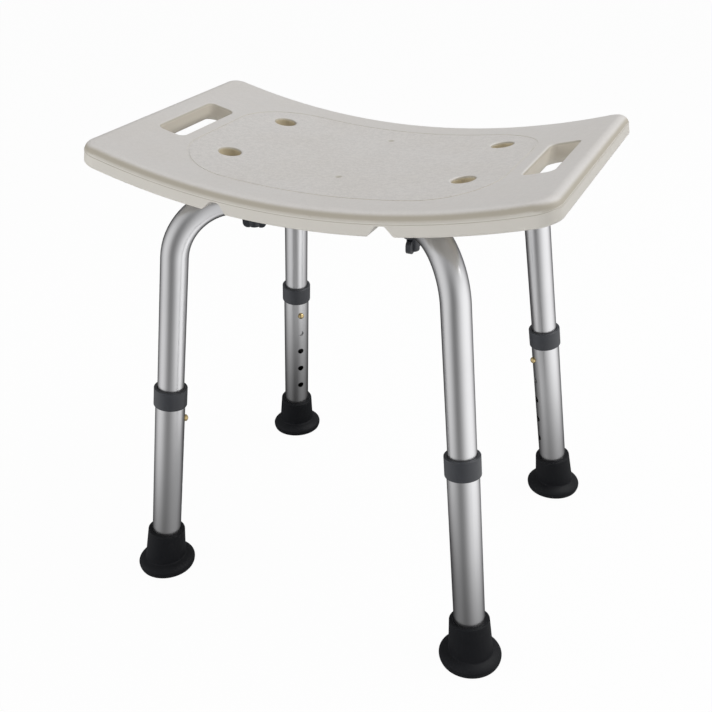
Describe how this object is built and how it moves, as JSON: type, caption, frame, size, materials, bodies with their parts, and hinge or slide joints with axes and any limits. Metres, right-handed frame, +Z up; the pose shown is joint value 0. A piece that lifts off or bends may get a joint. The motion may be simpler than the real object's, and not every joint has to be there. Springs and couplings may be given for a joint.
{
  "type": "shower stool",
  "caption": "Dished plastic bath seat with hand slots and drains on a crossed aluminium tube frame; telescopic legs with snap buttons and flared rubber feet.",
  "frame": {"origin": "on the floor, under the centre of the seat", "axes": "+Z up, X along the seat's long side, Y across it; the seat dishes along X"},
  "size_m": [0.4282, 0.348, 0.4391],
  "materials": {
    "seat_plastic": "fine-grained moulded polyethylene, warm white",
    "tube_aluminium": "satin anodised",
    "collar_plastic": "dark grey moulded plastic",
    "foot_rubber": "matt black rubber",
    "steel": "zinc-plated or spring steel",
    "brass": "plain brass",
    "knob_plastic": "black moulded plastic"
  },
  "bodies": {
    "frame": {"seat_panel": "seat_plastic", "frame_tube_upper_lap": "tube_aluminium", "frame_tube_lower_lap": "tube_aluminium", "centre_rivet": "steel", "seat_inserts": "brass", "snap_spring_fl": "steel", "snap_spring_fr": "steel", "snap_spring_rl": "steel", "snap_spring_rr": "steel"},
    "leg_fl": {"leg_tube_fl": "tube_aluminium", "leg_collar_fl": "collar_plastic", "rubber_foot_fl": "foot_rubber", "foot_washer_fl": "steel"},
    "button_fl": {"snap_button_fl": "brass"},
    "screw_fl": {"wing_knob_fl": "knob_plastic", "screw_stud_fl": "steel"},
    "leg_fr": {"leg_tube_fr": "tube_aluminium", "leg_collar_fr": "collar_plastic", "rubber_foot_fr": "foot_rubber", "foot_washer_fr": "steel"},
    "button_fr": {"snap_button_fr": "brass"},
    "screw_fr": {"wing_knob_fr": "knob_plastic", "screw_stud_fr": "steel"},
    "leg_rl": {"leg_tube_rl": "tube_aluminium", "leg_collar_rl": "collar_plastic", "rubber_foot_rl": "foot_rubber", "foot_washer_rl": "steel"},
    "button_rl": {"snap_button_rl": "brass"},
    "screw_rl": {"wing_knob_rl": "knob_plastic", "screw_stud_rl": "steel"},
    "leg_rr": {"leg_tube_rr": "tube_aluminium", "leg_collar_rr": "collar_plastic", "rubber_foot_rr": "foot_rubber", "foot_washer_rr": "steel"},
    "button_rr": {"snap_button_rr": "brass"},
    "screw_rr": {"wing_knob_rr": "knob_plastic", "screw_stud_rr": "steel"}
  },
  "joints": [
    {"name": "leg_slide_fl", "type": "slide", "parent": "frame", "child": "leg_fl", "axis": [0.1024, 0.089, 0.9907], "range_m": [0, 0.1016], "deforming": ["snap_button_fl"]},
    {"name": "button_press_fl", "type": "slide", "parent": "frame", "child": "button_fl", "axis": [-0.7477, -0.65, 0.1357], "range_m": [0, 0.005], "stiffness_N_per_m": 1000, "springref_m": -0.001, "deforming": ["snap_spring_fl"]},
    {"name": "screw_turn_fl", "type": "hinge", "parent": "frame", "child": "screw_fl", "pos_m": [-0.07698, -0.06692, 0.3726], "axis": [0, 0, 1], "continuous": true},
    {"name": "leg_slide_fr", "type": "slide", "parent": "frame", "child": "leg_fr", "axis": [-0.1024, 0.089, 0.9907], "range_m": [0, 0.1016], "deforming": ["snap_button_fr"]},
    {"name": "button_press_fr", "type": "slide", "parent": "frame", "child": "button_fr", "axis": [0.7477, -0.65, 0.1357], "range_m": [0, 0.005], "stiffness_N_per_m": 1000, "springref_m": -0.001, "deforming": ["snap_spring_fr"]},
    {"name": "screw_turn_fr", "type": "hinge", "parent": "frame", "child": "screw_fr", "pos_m": [0.07698, -0.06692, 0.3726], "axis": [0, 0, 1], "continuous": true},
    {"name": "leg_slide_rl", "type": "slide", "parent": "frame", "child": "leg_rl", "axis": [0.1024, -0.089, 0.9907], "range_m": [0, 0.1016], "deforming": ["snap_button_rl"]},
    {"name": "button_press_rl", "type": "slide", "parent": "frame", "child": "button_rl", "axis": [-0.7477, 0.65, 0.1357], "range_m": [0, 0.005], "stiffness_N_per_m": 1000, "springref_m": -0.001, "deforming": ["snap_spring_rl"]},
    {"name": "screw_turn_rl", "type": "hinge", "parent": "frame", "child": "screw_rl", "pos_m": [-0.07698, 0.06692, 0.3726], "axis": [0, 0, 1], "continuous": true},
    {"name": "leg_slide_rr", "type": "slide", "parent": "frame", "child": "leg_rr", "axis": [-0.1024, -0.089, 0.9907], "range_m": [0, 0.1016], "deforming": ["snap_button_rr"]},
    {"name": "button_press_rr", "type": "slide", "parent": "frame", "child": "button_rr", "axis": [0.7477, 0.65, 0.1357], "range_m": [0, 0.005], "stiffness_N_per_m": 1000, "springref_m": -0.001, "deforming": ["snap_spring_rr"]},
    {"name": "screw_turn_rr", "type": "hinge", "parent": "frame", "child": "screw_rr", "pos_m": [0.07698, 0.06692, 0.3726], "axis": [0, 0, 1], "continuous": true}
  ]
}
